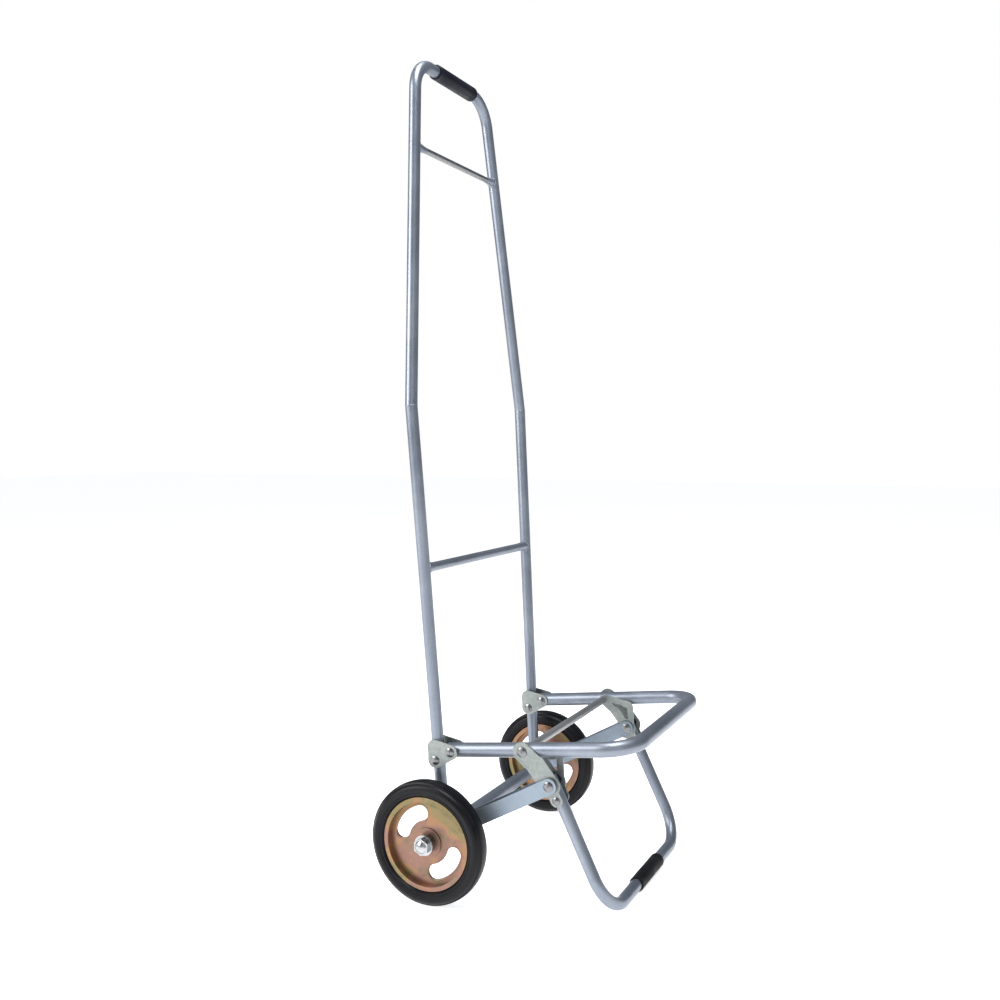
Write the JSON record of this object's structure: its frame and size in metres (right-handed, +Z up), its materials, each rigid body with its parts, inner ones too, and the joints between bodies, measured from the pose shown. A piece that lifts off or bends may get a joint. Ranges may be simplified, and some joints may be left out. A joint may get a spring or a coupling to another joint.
{
  "type": "folding luggage trolley",
  "caption": "Folding tube hand trolley: tall U-bent handle frame on wheels, hinged U platform and a fold-down stand leg held by slotted struts.",
  "frame": {"origin": "on the floor, midway between the wheels, below the axle", "axes": "+Z up, X along the axle, the platform points to -Y and the handle leans to +Y"},
  "size_m": [0.4314, 0.3462, 1.1104],
  "materials": {
    "tube": "satin silver-grey",
    "strut_steel": "satin blue-grey",
    "stamped": "dull zinc",
    "tyre": "solid rubber",
    "rim": "yellow chromate zinc",
    "grip": "matt plastic sleeve",
    "sleeve": "matt rubber",
    "plug": "matt",
    "bright": "bright zinc"
  },
  "bodies": {
    "frame": {"handle_loop": "tube", "frame_leg_left": "tube", "frame_leg_right": "tube", "hand_grip": "grip", "upper_crossbar": "bright", "lower_crossbar": "tube", "frame_end_plugs": "plug", "axle_tube": "tube", "axle_rod": "bright", "axle_spacers": "bright", "hinge_bracket_left": "stamped", "hinge_bracket_right": "stamped", "bracket_rivets": "bright", "hinge_pins": "bright", "axle_washer_left": "bright", "axle_nut_left": "bright", "axle_washer_right": "bright", "axle_nut_right": "bright"},
    "platform": {"platform_frame": "tube", "platform_end_plugs": "plug", "leg_pivot_rod": "bright", "pivot_spacer_tube": "tube"},
    "stand": {"stand_leg": "tube", "foot_sleeve": "sleeve", "leg_end_plugs": "plug", "leg_plate_left_outer": "stamped", "leg_plate_left_inner": "stamped", "leg_plate_right_outer": "stamped", "leg_plate_right_inner": "stamped", "leg_rivets": "bright"},
    "struts": {"strut_left": "strut_steel", "strut_right": "strut_steel", "strut_rivets": "bright"},
    "wheel_left": {"tyre_left": "tyre", "rim_outer_left": "rim", "rim_inner_left": "rim", "hub_left": "bright"},
    "wheel_right": {"tyre_right": "tyre", "rim_outer_right": "rim", "rim_inner_right": "rim", "hub_right": "bright"}
  },
  "joints": [
    {"name": "platform_fold", "type": "hinge", "parent": "frame", "child": "platform", "pos_m": [0, -0.0155, 0.19], "axis": [-1, 0, 0], "range_deg": [0, 80]},
    {"name": "stand_fold", "type": "hinge", "parent": "platform", "child": "stand", "pos_m": [0, -0.1165, 0.2025], "axis": [1, 0, 0], "range_deg": [0, 92.8]},
    {"name": "strut_fold", "type": "hinge", "parent": "frame", "child": "struts", "pos_m": [0, 0, 0.08], "axis": [-1, 0, 0], "range_deg": [0, 44.56]},
    {"name": "wheel_left_spin", "type": "hinge", "parent": "frame", "child": "wheel_left", "pos_m": [-0.191, 0, 0.08], "axis": [1, 0, 0], "continuous": true},
    {"name": "wheel_right_spin", "type": "hinge", "parent": "frame", "child": "wheel_right", "pos_m": [0.191, 0, 0.08], "axis": [1, 0, 0], "continuous": true}
  ],
  "couplings": [
    {"joint": "stand_fold", "follows": "platform_fold", "ratio": 1.16},
    {"joint": "strut_fold", "follows": "platform_fold", "ratio": 0.557}
  ]
}
